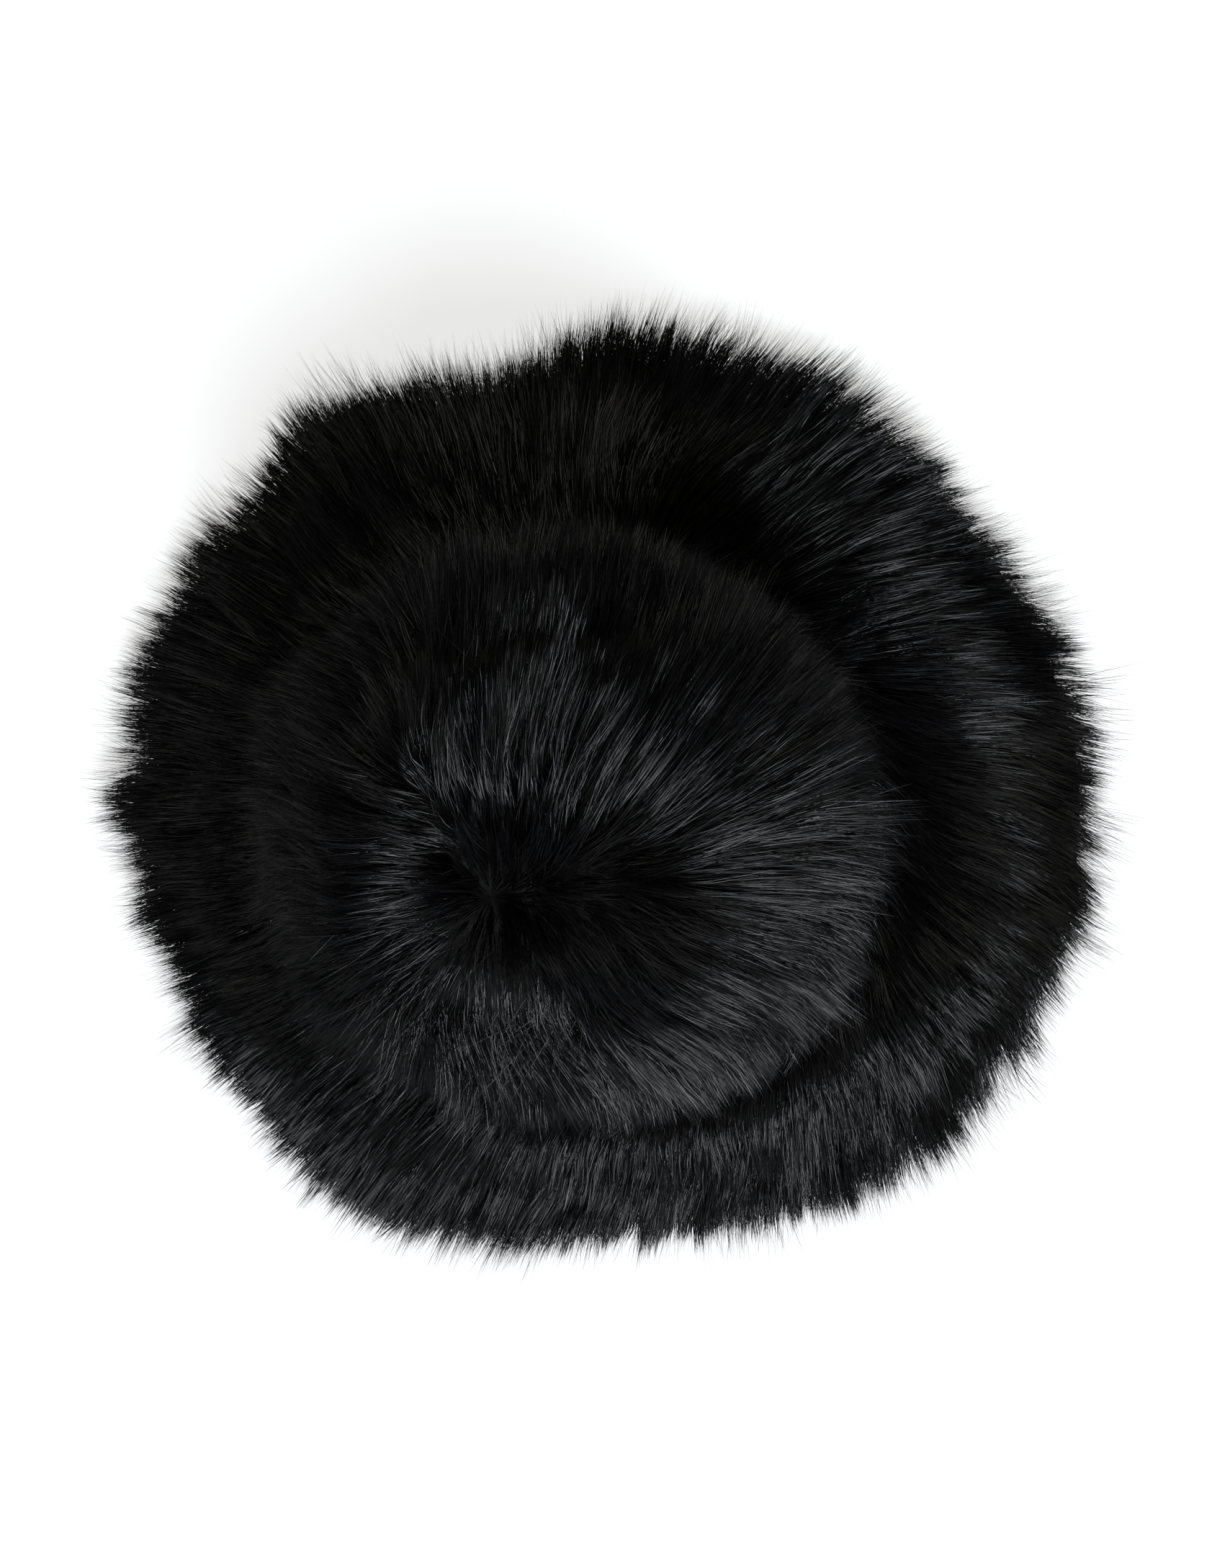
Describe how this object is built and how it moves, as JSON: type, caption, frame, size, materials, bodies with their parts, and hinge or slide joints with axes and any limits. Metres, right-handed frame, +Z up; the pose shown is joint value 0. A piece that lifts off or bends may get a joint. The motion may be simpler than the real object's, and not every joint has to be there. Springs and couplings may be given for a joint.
{
  "type": "faux fur bucket hat",
  "caption": "Soft bucket hat with a domed crown and a sloping brim, covered all over in deep black faux fur and lying on its brim.",
  "frame": {"origin": "middle of the hat's box, on the floor under it", "axes": "+Z up through the crown; the hat's front, its edge nearest the viewer, faces -Y; +X is to the viewer's right"},
  "size_m": [0.3674, 0.3388, 0.1361],
  "materials": {
    "backing": "matt black knitted backing",
    "pile": "glossy black acrylic pile"
  },
  "bodies": {
    "root": {"crown_tip": "backing", "crown_side": "backing", "brim": "backing", "crown_tip_fur": "pile", "crown_side_fur": "pile", "brim_fur": "pile"}
  },
  "joints": []
}
